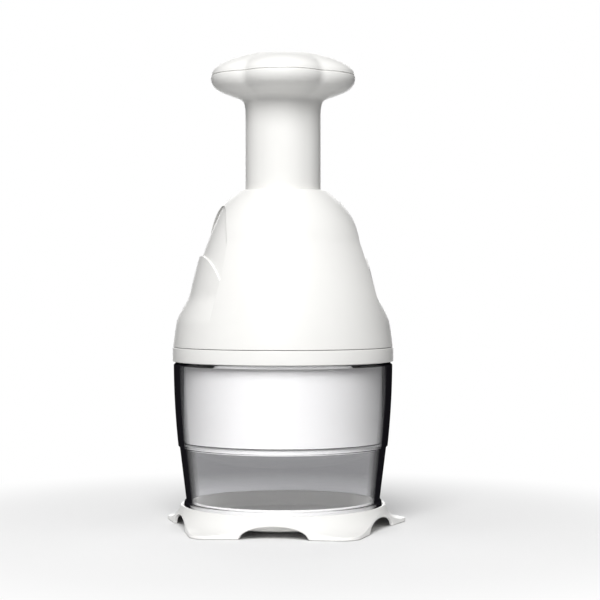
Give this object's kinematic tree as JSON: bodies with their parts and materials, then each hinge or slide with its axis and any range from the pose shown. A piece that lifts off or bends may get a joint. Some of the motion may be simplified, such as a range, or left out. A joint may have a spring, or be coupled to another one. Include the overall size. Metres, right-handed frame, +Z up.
{
  "type": "plunger food chopper",
  "caption": "Hand chopper: a palm knob drives turning zigzag blades down through a wiper disc into a clear container on a footed dish.",
  "frame": {"origin": "centre of the foot ring on the table, under the chopping dish", "axes": "+Z up along the plunger, +X through one finger recess and the lobe of the dish below it"},
  "size_m": [0.1177, 0.1208, 0.2345],
  "materials": {
    "white_plastic": "satin moulded",
    "clear_plastic": "clear moulded",
    "nylon": "matt moulded",
    "soft_ring": "soft",
    "spring_steel": "bright zinc",
    "blade_steel": "polished"
  },
  "bodies": {
    "dish": {"chopping_dish": "white_plastic"},
    "container": {"clear_container": "clear_plastic"},
    "housing": {"bell_housing": "white_plastic", "blade_guard": "white_plastic", "wiper_ring": "white_plastic", "mechanism_frame": "nylon", "frame_screws": "spring_steel", "drive_nut": "nylon", "spring_seat": "nylon"},
    "plunger": {"knob_cap": "white_plastic", "plunger_tube": "white_plastic", "stop_ring": "soft_ring", "return_spring": "spring_steel"},
    "blade_set": {"drive_spindle": "nylon", "thrust_washer": "spring_steel", "hanger_washer": "spring_steel", "spindle_screw": "spring_steel", "blade_holder": "white_plastic", "holder_screw": "spring_steel", "front_blade": "blade_steel", "rear_blade": "blade_steel"},
    "wiper": {"wiper_disc": "white_plastic"}
  },
  "joints": [
    {"name": "container_lift", "type": "slide", "parent": "dish", "child": "container", "axis": [0, 0, 1], "range_m": [0, 0.02]},
    {"name": "housing_lift", "type": "slide", "parent": "container", "child": "housing", "axis": [0, 0, 1], "range_m": [0, 0.045]},
    {"name": "plunger_slide", "type": "slide", "parent": "housing", "child": "plunger", "axis": [0, 0, -1], "range_m": [0, 0.036], "stiffness_N_per_m": 300, "springref_m": -0.04, "deforming": ["return_spring"]},
    {"name": "blade_turn", "type": "hinge", "parent": "plunger", "child": "blade_set", "pos_m": [0, 0, 0], "axis": [0, 0, -1], "range_deg": [0, 60]},
    {"name": "wiper_turn", "type": "hinge", "parent": "housing", "child": "wiper", "pos_m": [0, 0, 0], "axis": [0, 0, -1], "range_deg": [0, 60]}
  ],
  "couplings": [
    {"joint": "blade_turn", "follows": "plunger_slide", "rad_per_m": 29.08},
    {"joint": "wiper_turn", "follows": "plunger_slide", "rad_per_m": 29.08}
  ]
}
